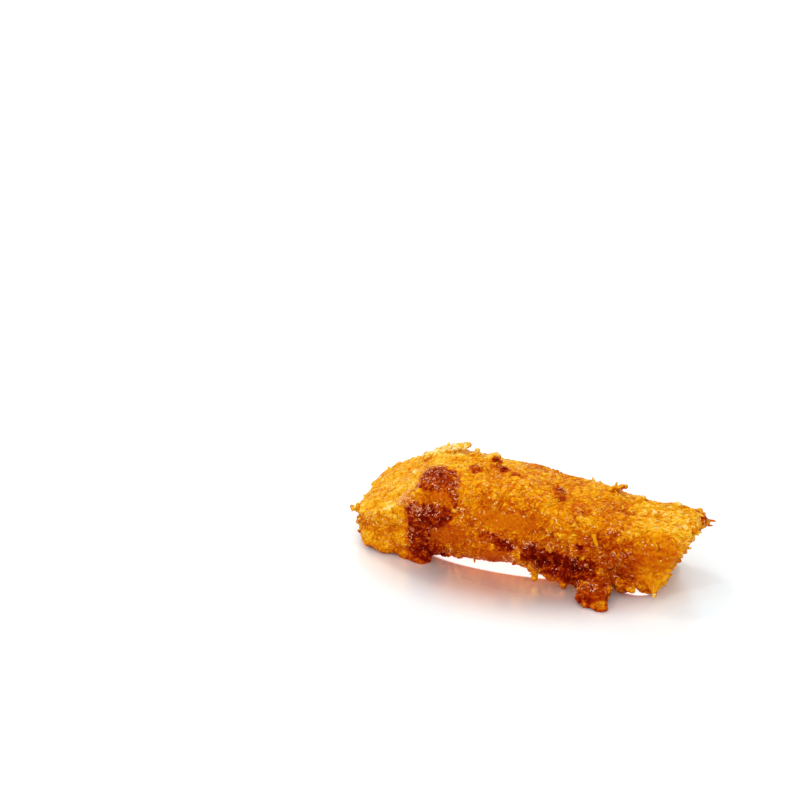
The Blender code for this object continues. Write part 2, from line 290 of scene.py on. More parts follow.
# Short shreds that lie half sunk along the crust. In the torn half they are streaks, longer and in line.
STRAND_COUNT = 2900
STRAND_LENGTHS = (0.5, 1.5)
STRAND_WIDTHS = (0.20, 0.38)
STRAND_RINGS = 6
STRAND_SIDES = 4
STRAND_BEND = 0.55
STRAND_LIFT = 0.10
STRAND_WIDE = 0.55
STRAND_HIGH = 0.36
STRAND_THIN_END = 0.35
STRAND_CUT = 0.12
STRAND_PATCH_LOSS = 0.4
STRAND_LOWEST = 0.7
STREAK_LENGTHS = (1.2, 3.0)
STREAK_LONG_FROM = (14.0, 30.0)
STREAK_IN_LINE_FROM = (10.0, 30.0)
STREAK_HEADING = Vector((0.9, 0.1, -0.5))
STREAK_WANDER = 0.4

# Crumbs and strands are a little darker than the crust, but a share of those on its plain top are pale:
# painted highlights, more of them where they face up.
PIECE_DARKER = 0.03
PIECE_VARIETY = 0.10
PLAIN_BROWN = 0.1
PAINTED_HIGHLIGHT_SHARE = 0.06
PAINTED_HIGHLIGHT_TONE = 0.14
PAINTED_HIGHLIGHT_VARIETY = (0.5, 1.5)

# Painted highlights: pale flecks whose colour stands in for glints of light on wet fat, rosy in the browned
# patches and golden elsewhere.
GLINT_COUNT = 3300
GLINT_WIDTHS = (0.17, 0.36)
GLINT_LENGTHS = (0.22, 0.75)
GLINT_PLAIN_SHARE = 0.10
GLINT_PATCH_SHARE = 0.26
GLINT_DARKEST = 0.55
GLINT_CROWD_MEAN = 0.5
GLINT_CROWD = (1.6, 3.0, 55.0)
GLINT_ROUNDS = 6
GLINT_LOWEST = 3.0
GLINT_ROSY_BROWN = 0.15

# Where such flecks lie thick: centre, reach and how thick.
GLINT_SPOTS = (
    ((-33.4, -10.8, 16.4), (3.4, 2.4, 1.8), 0.8),
    ((-25.2, -7.0, 21.5), (3.8, 4.4, 2.0), 0.10),
    ((-27.4, -12.4, 14.6), (2.3, 2.0, 1.4), 0.7),
    ((19.0, -12.0, 8.6), (5.5, 2.0, 2.6), 0.08),
    ((-20.6, -9.6, 19.6), (1.2, 1.6, 1.2), 0.7),
    ((1.2, -11.6, 9.8), (4.0, 2.0, 0.7), 0.7),
)
GLINT_SPOT_FADE = (1.4, -1.0)

# A fibre is a flat strip with a blunt end: its rings and sides, its profile and how much its width varies.
FIBRE_RINGS = 7
FIBRE_SIDES = 6
FIBRE_THICK = 0.35
FIBRE_WIDE = 0.6
FIBRE_BLUNTNESS = 1.05
FIBRE_UNEVENNESS = (0.75, 1.15)
BEND_SHARES = (0.4, 1.0)

# Fibres torn out of the end's rim.
TORN_COUNT = 90
TORN_LENGTHS = (0.5, 1.5)
TORN_WIDTHS = (0.8, 1.5)
TORN_BEND = 0.5
TORN_LEAN = 0.9
TORN_WANDER = 1.1
TORN_SUNK = 0.4
TORN_TONES = (0.15, 0.42)

# Single fibres, each with its start, end, bend at its free end, width and tone: a golden strip on the browned
# front, the hook at the slanted end and the curls of the torn tip.
CURLS = (
    ((14.8, -11.4, 15.0), (15.6, -12.2, 12.2), (0.5, -0.2, 0.0), 1.15, 0.26),
    ((-44.2, -4.0, 8.6), (-48.4, -5.4, 11.2), (0.0, 0.0, -4.2), 1.55, 0.36),
    ((36.4, 5.2, 13.8), (35.0, 3.6, 11.4), (2.2, 0.6, 0.0), 1.00, 0.30),
    ((37.0, 6.0, 13.8), (40.0, 6.8, 14.4), (0.0, 0.0, -0.6), 0.85, 0.42),
    ((36.8, 5.6, 13.2), (39.4, 6.4, 12.2), (0.0, 0.0, 0.5), 0.80, 0.45),
    ((32.8, 5.2, 15.0), (32.2, 5.6, 17.4), (-0.7, 0.0, 0.0), 0.70, 0.30),
    ((34.0, 3.0, 10.8), (33.4, 2.0, 8.8), (1.2, 0.0, 0.0), 1.00, 0.36),
    ((35.0, 5.6, 14.6), (36.2, 6.0, 16.2), (0.8, 0.0, -0.4), 0.90, 0.50),
)

# Fine hooks that stand off the crust, most of them on its edges.
HOOK_COUNT = 300
HOOK_LENGTHS = (0.5, 1.15)
HOOK_WIDTHS = (0.65, 1.15)
HOOK_BEND = 1.1
HOOK_WANDER = 1.2
HOOK_SUNK = 0.3
HOOK_BROWN = 0.8
HOOK_VARIETY = (-0.08, 0.12)
HOOK_PLAIN_SHARE = 0.3
HOOK_LOWEST = 1.2
EDGE_ROUNDS = 60
EDGE_HEIGHT = 0.25

# The crust's colours by its tone.
TONES = (
    (0.00, (0.960, 0.740, 0.380)),
    (0.12, (0.910, 0.575, 0.060)),
    (0.28, (0.820, 0.385, 0.006)),
    (0.45, (0.640, 0.180, 0.002)),
    (0.62, (0.470, 0.075, 0.002)),
    (0.80, (0.320, 0.022, 0.001)),
    (1.00, (0.170, 0.004, 0.001)),
)

# The painted highlight flecks' colours by their tone, and the tones of the rosy and of the golden ones.
GLINT_TONES = (
    (0.00, (0.480, 0.120, 0.030)),
    (0.49, (1.000, 0.560, 0.370)),
    (0.51, (0.800, 0.270, 0.035)),
    (1.00, (1.000, 0.740, 0.360)),
)
ROSY_TONES = (0.0, 0.49)
GOLDEN_TONES = (0.51, 1.0)
GLINT_ROUGHNESS = 0.15

# The crust's finer mottling, its strokes that run every way as of grated shreds, its gloss and how light
# spreads in it. A noise is its size, its detail, and where it needs them its distortion and kind.
MOTTLE_NOISE = (0.7, 3.0)
STROKE_NOISE = (0.8, 2.0, 0.7, "RIDGED_MULTIFRACTAL")
STROKE_MEAN = 0.7
STROKE_SHARE = 0.5
STROKE_DEPTH = 0.3
GLOSS_NOISE = (1.3, 2.0)
GLOSS_SPREAD = 0.2
FAT_TINT = (1.0, 0.70, 0.42, 1.0)
FLESH_SHARE = 0.20
FLESH_RADII = (1.0, 0.36, 0.08)
FLESH_DEPTH = 0.6

# Each crusty material's roughness, specular level, mottling and strength of its strokes.
CRUST_LOOK = (0.28, 0.03, 0.36, 0.8)
CRUMB_LOOK = (0.24, 0.06, 0.24, 0.3)
STRAND_LOOK = (0.24, 0.03, 0.20, 0.3)
SHRED_LOOK = (0.28, 0.06, 0.20, 0.4)

# The floor: half its side in metres, how far it mirrors along X and Y, and how much near and far off.
FLOOR_REACH = 6.0
FLOOR_COLOUR = (0.92, 0.92, 0.92, 1.0)
FLOOR_ROUGHNESS = 0.24
MIRROR_REACH = (50.0, 36.0)
MIRROR_FADE = (0.3, 0.9)
MIRROR_SHARES = (0.80, 0.08)

# The floor's own light: warm under the fry, faint round it and bright further off, at shares of GLOW_REACH.
GLOW_REACH = 5.0
GLOW_TONES = (
    (0.06, (0.150, 0.100, 0.060)),
    (0.13, (0.030, 0.050, 0.060)),
    (0.19, (0.000, 0.060, 0.090)),
    (0.36, (0.030, 0.030, 0.030)),
    (1.00, (0.400, 0.400, 0.400)),
)

# Where the fry's raised foot leaves the lit floor in sight: each spot's middle and reach, and their light.
GAPS = (
    ((-8.0, -6.0, 0.0), (20.0, 4.9)),
    ((24.5, -6.0, 0.0), (5.2, 4.6)),
)
GAP_FADE = (0.9, 1.05)
GAP_SHARES = (1.0, 0.0)
GAP_LIGHT = (0.9, 0.9, 0.9, 1.0)

CAMERA_AZIMUTH = math.radians(19.5)
CAMERA_ELEVATION = math.radians(25.0)
CAMERA_DISTANCE = 603.0
CAMERA_ASIDE = (-35.46, 38.51)
SENSOR_WIDTH = 36.0
LENS = 111.4

# The lights: name, place and size in metres, and power. They shine at the frame's origin.
LIGHTS = (
    ("back left light", (-0.30, 0.25, 0.50), 0.12, 0.7),
    ("front left light", (-0.30, -0.42, 0.40), 0.05, 0.5),
    ("front right light", (0.25, -0.45, 0.40), 0.04, 0.3),
)
LIGHT_COLOUR = (1.0, 0.97, 0.90)
WORLD_COLOUR = (1.0, 1.0, 1.0, 1.0)
WORLD_STRENGTH = 1.0
GAMMA = 0.9

# The dressed crust as the loose pieces need it: its vertices' facts and a tree to find its surface by.
Skin = namedtuple("Skin", "crust places normals brown smooth tone tree")


def smooth_step(values):
    """0 below 0, 1 above 1 and smooth between."""
    share = np.clip(values, 0.0, 1.0)
    return share * share * (3.0 - 2.0 * share)


def fade(values, start, span):
    """0 before a start, 1 from a span beyond it on."""
    return smooth_step((values - start) / span)


def change_along(values, change):
    """What a change comes to at each value."""
    strength, start, span = change
    return strength * fade(values, start, span)


def noise_field(places, size, shift=0.0):
    """Signed noise at each place, with features of a size in millimetres."""
    return np.array([noise.noise(place) for place in ((places + shift) / size).tolist()])


def wander(places, field):
    """A noise field at each place, by its strength, size and shift."""
    strength, size, shift = field
    return strength * noise_field(places, size, shift)


def turbulence_field(places, size):
    """Rounded lumps with sharp creases between them, less their mean."""
    values = [noise.turbulence(place, OCTAVES, True) for place in (places / size).tolist()]
    return np.array(values) - TURBULENCE_MEAN


def away_from(places, centre, reach):
    """Distance from a patch's centre, 1 at its edge, with squarish corners."""
    step = places - np.array(centre)
    step[:, 0] += PATCH_SKEW * step[:, 1]
    return (np.abs(step / np.array(reach)) ** PATCH_SQUARENESS).sum(axis=1) ** (1 / PATCH_SQUARENESS)


def beyond_break(places):
    """How far each place lies beyond the break's plane."""
    return (places - np.array(BREAK_POINT)) @ np.array(BREAK_NORMAL)


def browned(places):
    """How deeply the crust is browned at each place, 0 to 1."""
    edge = sum(wander(places, field) for field in PATCH_WANDERS)
    level = np.zeros(len(places))
    for centre, reach, depth in BROWN_PATCHES:
        share = smooth_step((1.0 - away_from(places, centre, reach) + edge) / PATCH_EDGE)
        level = np.maximum(level, depth * share)
    return level


def smoothness(places):
    """How far each place lies in a smooth window of the crust, 0 to 1."""
    edge = wander(places, WINDOW_WANDER)
    level = np.zeros(len(places))
    for centre, reach in DARK_WINDOWS + PLAIN_WINDOWS:
        share = smooth_step((1.0 - away_from(places, centre, reach) + edge) / WINDOW_EDGE)
        level = np.maximum(level, share)
    return level


def left_in_windows(what, smooth):
    """The share of some feature that each vertex keeps, less in the smooth windows."""
    return 1.0 - WINDOW_LOSS[what] * smooth


def wander_by(draw, reach):
    """Three random steps of up to a reach."""
    return [draw.uniform(-reach, reach) for _ in range(3)]


def link_object(name, data):
    """A new object in the scene that holds some data."""
    obj = bpy.data.objects.new(name, data)
    bpy.context.scene.collection.objects.link(obj)
    return obj


def frame_mesh(name, bm):
    """The mesh in metres and in the frame that a bmesh in millimetres becomes."""
    bmesh.ops.recalc_face_normals(bm, faces=bm.faces)
    bmesh.ops.translate(bm, verts=bm.verts, vec=-BOX_CENTRE)
    bmesh.ops.scale(bm, verts=bm.verts, vec=(MM, MM, MM))
    mesh = bpy.data.meshes.new(name)
    bm.to_mesh(mesh)
    bm.free()
    return mesh


def apply_modifiers(obj):
    """Keeps what an object's modifiers make of its mesh."""
    graph = bpy.context.evaluated_depsgraph_get()
    mesh = bpy.data.meshes.new_from_object(obj.evaluated_get(graph))
    obj.modifiers.clear()
    obj.data = mesh


def voxel_remesh(obj):
    """Gives an object one closed skin with even, fine faces."""
    even = obj.modifiers.new("even faces", "REMESH")
    even.mode = "VOXEL"
    even.voxel_size = FINE_GRID * MM
    apply_modifiers(obj)


def places_of(mesh):
    """Every vertex in the log's millimetres."""
    flat = np.empty(len(mesh.vertices) * 3)
    mesh.vertices.foreach_get("co", flat)
    return flat.reshape(-1, 3) / MM + np.array(BOX_CENTRE)


def put_places(mesh, places):
    """Moves every vertex to a place in the log's millimetres."""
    flat = (places - np.array(BOX_CENTRE)) * MM
    mesh.vertices.foreach_set("co", flat.ravel())
    mesh.update()


def normals_of(mesh):
    """Every vertex's normal."""
    flat = np.empty(len(mesh.vertices) * 3)
    mesh.vertex_normals.foreach_get("vector", flat)
    return flat.reshape(-1, 3)


def section_ring(bm, section):
    """The eight cage points of one section: its corners and the middles of its sides."""
    x, shift, half_width, low, high = section
    middle = (low + high) / 2
    half_height = (high - low) / 2
    around = ((1, 0), (1, 1), (0, 1), (-1, 1), (-1, 0), (-1, -1), (0, -1), (1, -1))
    return [
        bm.verts.new((x, shift + across * half_width, middle + up * half_height))
        for across, up in around
    ]


def log_cage():
    """The log's coarse cage: a loft through its unlike sections, closed at both ends."""
    bm = bmesh.new()
    rings = [section_ring(bm, section) for section in SECTIONS]
    for near, far in zip(rings, rings[1:]):
        for i in range(len(near)):
            j = (i + 1) % len(near)
            bm.faces.new((near[i], near[j], far[j], far[i]))
    bm.faces.new(rings[0])
    bm.faces.new(rings[-1])
    return bm


def cut_end(bm, point, normal):
    """Cuts off what lies beyond a plane and closes the cut."""
    cut = bmesh.ops.bisect_plane(
        bm,
        geom=bm.verts[:] + bm.edges[:] + bm.faces[:],
        plane_co=(point - BOX_CENTRE) * MM,
        plane_no=normal,
        clear_outer=True,
    )
    edges = [item for item in cut["geom_cut"] if isinstance(item, bmesh.types.BMEdge)]
    bmesh.ops.holes_fill(bm, edges=edges)


def make_log():
    """The plain log, with faces fine enough to carry the crust's relief."""
    log = link_object("crust", frame_mesh("crust", log_cage()))
    smoothing = log.modifiers.new("smoothing", "SUBSURF")
    smoothing.levels = LOG_SMOOTHING
    smoothing.render_levels = LOG_SMOOTHING
    apply_modifiers(log)
    bm = bmesh.new()
    bm.from_mesh(log.data)
    cut_end(bm, SLANT_POINT, SLANT_NORMAL)
    cut_end(bm, BREAK_POINT, BREAK_NORMAL)
    bm.to_mesh(log.data)
    bm.free()
    voxel_remesh(log)
    return log


def crust_step(places):
    """How far the surface drops at each place where the front crust has ended."""
    front = fade(places[:, 1], *CRUST_STEP_FRONT) * fade(places[:, 2], *CRUST_STEP_TOP)
    edge = CRUST_EDGE + wander(places, CRUST_EDGE_WANDER)
    return CRUST_STEP * front * fade(places[:, 0], edge, -CRUST_STEP_SPAN)


def raise_crags(log):
    """The crust's swellings, crags and thicker browned patches, and the torn end's hollows."""
    places = places_of(log.data)
    brown = browned(places)
    plain = left_in_windows("crags", smoothness(places))
    rise = wander(places, SWELLINGS)
    rise += (CRAG_RISE + PATCH_CRAG_RISE * brown) * plain * turbulence_field(places, CRAG_SIZE)
    rise += PATCH_RISE * brown
    rise -= crust_step(places)
    places += normals_of(log.data) * rise[:, None]
    torn = fade(beyond_break(places), *TOOTH_FADE)
    teeth = TOOTH_RISE * turbulence_field(places, TOOTH_SIZE)
    put_places(log.data, places + np.array(BREAK_NORMAL) * (torn * teeth)[:, None])


def lump(draw, place, size, direction, detail):
    """A rough lump in millimetres, its third size along a direction."""
    bm = bmesh.new()
    bmesh.ops.create_icosphere(bm, subdivisions=detail, radius=0.5)
    for vertex in bm.verts:
        vertex.co *= 1 + draw.uniform(-LUMP_UNEVENNESS, LUMP_UNEVENNESS)
    bmesh.ops.scale(bm, verts=bm.verts, vec=size)
    bmesh.ops.rotate(bm, verts=bm.verts, matrix=direction.to_track_quat("Z", "Y").to_matrix())
    bmesh.ops.translate(bm, verts=bm.verts, vec=place)
    return bm


def add_flap(pieces, draw):
    """The front flap: a rough slab from its root to its foot, with lobes along its edges."""
    run = FLAP_FOOT - FLAP_ROOT
    slab = (FLAP_WIDTH, FLAP_THICKNESS, run.length * FLAP_OVERLENGTH)
    pieces.append(lump(draw, FLAP_ROOT + run / 2, slab, run, 3))
    for across, along, width in FLAP_LOBES:
        place = FLAP_ROOT + run * along
        place.x += across * FLAP_WIDTH
        size = [width * share for share in LOBE_SHAPE]
        pieces.append(lump(draw, place, size, Vector((0.0, 0.0, 1.0)), 2))


def add_strip(pieces, draw):
    """The strip that lifts off the top: flat lumps on a line that arches a little."""
    run = STRIP_END - STRIP_START
    for i in range(STRIP_LUMPS):
        along = i / (STRIP_LUMPS - 1)
        place = STRIP_START + run * along
        place.z += STRIP_ARCH * math.sin(math.pi * along)
        width = STRIP_THICKNESS * draw.uniform(*STRIP_WIDTHS)
        depth = STRIP_THICKNESS * draw.uniform(*STRIP_DEPTHS)
        pieces.append(lump(draw, place, (width, depth, STRIP_LUMP_LENGTH), run, 2))


def add_run(pieces, draw, start, end, first, last):
    """A tapering run of rough lumps from a start to an end, each a little out of line."""
    start, end = Vector(start), Vector(end)
    run = end - start
    count = max(RUN_FEWEST, round(run.length / (RUN_SPACING * last)))
    for i in range(count):
        along = i / (count - 1)
        width = first + (last - first) * along
        place = start + run * along
        place += Vector([step * width for step in wander_by(draw, RUN_WANDER)])
        size = (width * draw.uniform(*RUN_WIDTHS), width * draw.uniform(*RUN_WIDTHS), width * RUN_LENGTH)
        pieces.append(lump(draw, place, size, run, 2))


def rim_of(places, normals, near, leans, lowest):
    """The numbers of the vertices on the break's rim."""
    lean = normals @ np.array(BREAK_NORMAL)
    leaning = (lean > leans[0]) & (lean < leans[1])
    rim = (np.abs(beyond_break(places)) < near) & leaning & (places[:, 2] > lowest)
    return np.flatnonzero(rim).tolist()


def add_clumps(log, pieces, draw):
    """Blunt clumps of torn flesh that hang out of the break's rim."""
    places = places_of(log.data)
    normals = normals_of(log.data)
    for pick in draw.choices(rim_of(places, normals, *CLUMP_RIM), k=CLUMP_COUNT):
        width = draw.uniform(*CLUMP_WIDTHS)
        size = (width, width * draw.uniform(*CLUMP_DEPTHS), draw.uniform(*CLUMP_LENGTHS))
        lean = Vector(np.array(BREAK_NORMAL) + CLUMP_LEAN * normals[pick])
        direction = lean + Vector(wander_by(draw, CLUMP_WANDER))
        pieces.append(lump(draw, Vector(places[pick]), size, direction, 2))


def pick_some(draw, weights, count):
    """Vertices picked at random, by their weights."""
    return draw.choices(range(len(weights)), weights.tolist(), k=count)


def add_bumps(log, pieces, draw):
    """Lumps that merge with the crust, most of them in the browned patches."""
    places = places_of(log.data)
    normals = normals_of(log.data)
    for pick in pick_some(draw, BUMP_PLAIN_SHARE + browned(places), BUMP_COUNT):
        width = draw.uniform(*BUMP_WIDTHS)
        size = [width * draw.uniform(*BUMP_SHAPE) for _ in range(3)]
        place = Vector(places[pick]) + Vector(normals[pick]) * width * BUMP_LIFT
        pieces.append(lump(draw, place, size, Vector(wander_by(draw, 1.0)), 1))


def join_pieces(log, pieces):
    """Adds the lumps to the log's mesh and fuses all of it into one even skin."""
    whole = bmesh.new()
    whole.from_mesh(log.data)
    for bm in pieces:
        part = frame_mesh("part", bm)
        whole.from_mesh(part)
        bpy.data.meshes.remove(part)
    whole.to_mesh(log.data)
    whole.free()
    voxel_remesh(log)


def raise_grains(log):
    """The fine grains and the lengthwise fibres, and the flat foot that the fry rests on."""
    places = places_of(log.data)
    bent = places.copy()
    for axis, field in enumerate(GRAIN_BENDS):
        bent[:, axis] += wander(places, field)
    brown = browned(places)
    plain = left_in_windows("grains", smoothness(places))
    grain = turbulence_field(bent * np.array(GRAIN_STRETCH), GRAIN_SIZE)
    rise = (GRAIN_RISE + PATCH_GRAIN_RISE * brown) * plain * grain
    torn = fade(places[:, 0], *FIBRE_FADE) * (1.0 - brown)
    rise += FIBRE_RISE * torn * noise_field(bent * np.array(FIBRE_STRETCH), FIBRE_SIZE)
    places += normals_of(log.data) * rise[:, None]
    places[:, 2] = np.maximum(places[:, 2], 0.0)
    put_places(log.data, places)


def local_mean(values, ends, rounds):
    """Each vertex's values averaged over its neighbours, some rounds over."""
    count = np.bincount(ends.ravel(), minlength=len(values))[:, None]
    for _ in range(rounds):
        total = np.zeros_like(values)
        for axis in range(values.shape[1]):
            total[:, axis] = np.bincount(ends[:, 0], values[ends[:, 1], axis], len(values))
            total[:, axis] += np.bincount(ends[:, 1], values[ends[:, 0], axis], len(values))
        values = 0.5 * values + 0.5 * total / count
    return values


def edge_ends(mesh):
    """The two vertices of every edge."""
    ends = np.empty(len(mesh.edges) * 2, dtype=np.int32)
    mesh.edges.foreach_get("vertices", ends)
    return ends.reshape(-1, 2)


def crest_height(mesh, rounds):
    """How far each vertex stands above the surface round it, in millimetres."""
    places = places_of(mesh)
    mean = local_mean(places, edge_ends(mesh), rounds)
    return ((places - mean) * normals_of(mesh)).sum(axis=1)


def soften(log):
    """Rounds off the lumps in the smooth windows and at the foot of the slanted end."""
    places = places_of(log.data)
    foot = fade(away_from(places, *SOFT_FOOT), *SOFT_FOOT_FADE)
    share = SOFT_SHARE * np.maximum(smoothness(places), foot)
    mean = local_mean(places, edge_ends(log.data), SOFT_ROUNDS)
    put_places(log.data, places + (mean - places) * share[:, None])


def base_tone(places, normals):
    """How dark the crust is without its patches: golden on top and at the ends, orange down the sides.
    Painted light makes it paler where it faces up, on its paler top spots and on the break's face; painted
    shade makes it darker low down and at the foot.
    """
    x, z = places[:, 0], places[:, 2]
    # Painted light where the crust faces up, painted shade low down.
    tone = PLAIN_TONE + change_along(normals[:, 2], PAINTED_TOP_LIGHT) + change_along(z, PAINTED_LOW_SHADE)
    # Painted shade at the foot.
    tone += change_along(z, PAINTED_FOOT_SHADE)
    tone += change_along(x, TORN_FLANK_CHANGE) * fade(z, *TORN_FLANK_TOP)
    # Painted light on the break's face, which faces down into shade.
    tone += change_along(beyond_break(places), PAINTED_BREAK_LIGHT)
    tone += change_along(x, SLANT_CHANGE)
    mottle = wander(places, BROAD_MOTTLE) + wander(places, FINE_MOTTLE)
    tone += mottle * left_in_windows("mottle", smoothness(places))
    # Painted light on the paler spots of the top.
    for centre, reach, depth in PAINTED_TOP_LIGHT_SPOTS:
        tone *= 1.0 - depth * fade(away_from(places, centre, reach), 1.0, -PAINTED_TOP_LIGHT_EDGE)
    for centre, reach in DARK_WINDOWS:
        tone += change_along(away_from(places, centre, reach), WINDOW_CHANGE)
    return tone


def keep_tone(mesh, tone):
    """Keeps a tone for each vertex, for the material to read."""
    attribute = mesh.attributes.new("tone", "FLOAT", "POINT")
    attribute.data.foreach_set("value", tone.astype(np.float32))


def tone_crust(log):
    """Keeps the crust's tone on its vertices: plain or browned, with painted light on its crests and painted
    shade in its creases.
    """
    mesh = log.data
    places = places_of(mesh)
    brown = browned(places)
    tone = base_tone(places, normals_of(mesh))
    tone += (1.0 - tone) * brown
    tone += brown * wander(places, PATCH_MOTTLE)
    # Painted light and shade: paler on the crests, darker in the creases.
    crests = sum(gain * crest_height(mesh, rounds) for gain, rounds in PAINTED_CREST_LIGHT)
    tone -= np.clip(crests, *PAINTED_CREST_LIGHT_LIMITS) * left_in_windows("crests", smoothness(places))
    keep_tone(mesh, tone)


def make_crust(draw):
    """The crust: the log with its crags and patches, all that is added to it, its grains and its tone."""
    log = make_log()
    raise_crags(log)
    pieces = []
    add_flap(pieces, draw)
    add_strip(pieces, draw)
    for fray in LEDGES + FRAYS + (TORN_TIP,):
        add_run(pieces, draw, *fray)
    add_clumps(log, pieces, draw)
    add_bumps(log, pieces, draw)
    join_pieces(log, pieces)
    soften(log)
    raise_grains(log)
    tone_crust(log)
    log.data.shade_smooth()
    return log


def skin_of(crust):
    """The crust's facts for the loose pieces on it."""
    places, normals = places_of(crust.data), normals_of(crust.data)
    tree = BVHTree.FromObject(crust, bpy.context.evaluated_depsgraph_get())
    tone = base_tone(places, normals)
    return Skin(crust, places, normals, browned(places), smoothness(places), tone, tree)


def joined_object(name, shapes):
    """One mesh from many small shapes: their points in millimetres, faces and one tone each."""
    points, faces, tones = [], [], []
    start = 0
    for shape_points, shape_faces, tone in shapes:
        points.append(shape_points)
        faces.extend(tuple(start + i for i in face) for face in shape_faces)
        tones.append(np.full(len(shape_points), tone))
        start += len(shape_points)
    mesh = bpy.data.meshes.new(name)
    flat = (np.concatenate(points) - np.array(BOX_CENTRE)) * MM
    mesh.from_pydata(flat.tolist(), [], faces)
    keep_tone(mesh, np.concatenate(tones))
    mesh.shade_smooth()
    return link_object(name, mesh)


def above_floor(points):
    """Points with none below the lowest allowed."""
    points[:, 2] = np.maximum(points[:, 2], LOWEST_POINT)
    return points


def piece_tone(draw, skin, pick, darker):
    """The tone of one crumb or strand: near the crust's own, or pale as a painted highlight where it faces
    up.
    """
    brown, tone = skin.brown[pick], skin.tone[pick] + darker
    # Painted highlight: a pale piece, likelier where it faces up.
    if brown < PLAIN_BROWN and draw.random() < PAINTED_HIGHLIGHT_SHARE * max(0.0, skin.normals[pick][2]):
        return PAINTED_HIGHLIGHT_TONE * draw.uniform(*PAINTED_HIGHLIGHT_VARIETY)
    return tone + PIECE_DARKER + (1.0 - tone) * brown + draw.uniform(-PIECE_VARIETY, PIECE_VARIETY)


def icosphere():
    """The points and faces of a coarse ball, one millimetre across."""
    bm = bmesh.new()
    bmesh.ops.create_icosphere(bm, subdivisions=1, radius=0.5)
    points = np.array([vertex.co[:] for vertex in bm.verts])
    faces = [[vertex.index for vertex in face.verts] for face in bm.faces]
    bm.free()
    return points, faces


def crumb_points(ball, draw, place, normal, width):
    """One crumb: a ball made uneven, turned at random and set into the crust."""
    points = ball * (1.0 + np.array([[draw.uniform(-CRUMB_UNEVENNESS, CRUMB_UNEVENNESS)] for _ in ball]))
    points = points * np.array([draw.uniform(*limits) for limits in CRUMB_SHAPE]) * width
    spin = Matrix.Rotation(draw.uniform(0, math.tau), 3, "Z")
    tilt = Vector(normal) + Vector(wander_by(draw, CRUMB_TILT))
    turn = tilt.to_track_quat("Z", "Y").to_matrix() @ spin
    return points @ np.array(turn).T + place - np.array(normal) * width * CRUMB_SUNK


def make_crumbs(skin, draw):
    """Crumbs all over the crust, most of them in the browned patches."""
    weights = (CRUMB_PLAIN_SHARE + skin.brown) * (skin.places[:, 2] > CRUMB_LOWEST)
    ball, faces = icosphere()
    shapes = []
    for pick in pick_some(draw, weights, CRUMB_COUNT):
        width = draw.uniform(*CRUMB_WIDTHS)
        points = crumb_points(ball, draw, skin.places[pick], skin.normals[pick], width)
        shapes.append((above_floor(points), faces, piece_tone(draw, skin, pick, CRUMB_DARKER)))
    return joined_object("crumbs", shapes)


def tube_faces(rings, sides):
    """The faces of a closed tube, from the numbers of its points."""
    faces = [tuple(range(sides))[::-1]]
    for i in range(rings - 1):
        for j in range(sides):
            k = (j + 1) % sides
            faces.append((i * sides + j, i * sides + k, (i + 1) * sides + k, (i + 1) * sides + j))
    faces.append(tuple((rings - 1) * sides + j for j in range(sides)))
    return faces


def strand_heading(draw, place, normal):
    """Which way a strand runs: any way on most of the crust, along the fry and down at its torn end."""
    heading = Vector(wander_by(draw, 1.0))
    if place[0] > draw.uniform(*STREAK_IN_LINE_FROM):
        heading = STREAK_HEADING + STREAK_WANDER * heading
    return (heading - normal * heading.dot(normal)).normalized()


def strand(draw, skin, pick, length, width):
    """One shred that wanders along the crust: rings round a line that is laid on the surface step by step."""
    place, normal = Vector(skin.places[pick]), Vector(skin.normals[pick])
    heading = strand_heading(draw, place, normal)
    points = []
    for i in range(STRAND_RINGS):
        along = i / (STRAND_RINGS - 1)
        found, face_normal, _, _ = skin.tree.find_nearest((place - BOX_CENTRE) * MM)
        place = found / MM + BOX_CENTRE
        normal = (normal + face_normal).normalized()
        heading = (heading - normal * heading.dot(normal)).normalized()
        heading.rotate(Matrix.Rotation(draw.uniform(-STRAND_BEND, STRAND_BEND), 3, normal))
        aside = normal.cross(heading)
        swelling = math.sin(math.pi * (STRAND_CUT + (1.0 - 2.0 * STRAND_CUT) * along))
        thick = width * (STRAND_THIN_END + (1.0 - STRAND_THIN_END) * swelling)
        middle = place + normal * thick * STRAND_LIFT
        for j in range(STRAND_SIDES):
            turn = math.tau * j / STRAND_SIDES
            across, up = aside * math.cos(turn) * STRAND_WIDE, normal * math.sin(turn) * STRAND_HIGH
            points.append(middle + (across + up) * thick)
        place = place + heading * length / (STRAND_RINGS - 1)
    return np.array([point[:] for point in points])


def make_strands(skin, draw):
    """Strands all over the crust, fewer in the smooth windows and the patches."""
    weights = left_in_windows("strands", skin.smooth) * (1.0 - STRAND_PATCH_LOSS * skin.brown)
    faces = tube_faces(STRAND_RINGS, STRAND_SIDES)
    shapes = []
    for pick in pick_some(draw, weights * (skin.places[:, 2] > STRAND_LOWEST), STRAND_COUNT):
        streak = skin.places[pick][0] > draw.uniform(*STREAK_LONG_FROM)
        length = draw.uniform(*(STREAK_LENGTHS if streak else STRAND_LENGTHS))
        points = strand(draw, skin, pick, length, draw.uniform(*STRAND_WIDTHS))
        shapes.append((above_floor(points), faces, piece_tone(draw, skin, pick, 0.0)))
    return joined_object("strands", shapes)


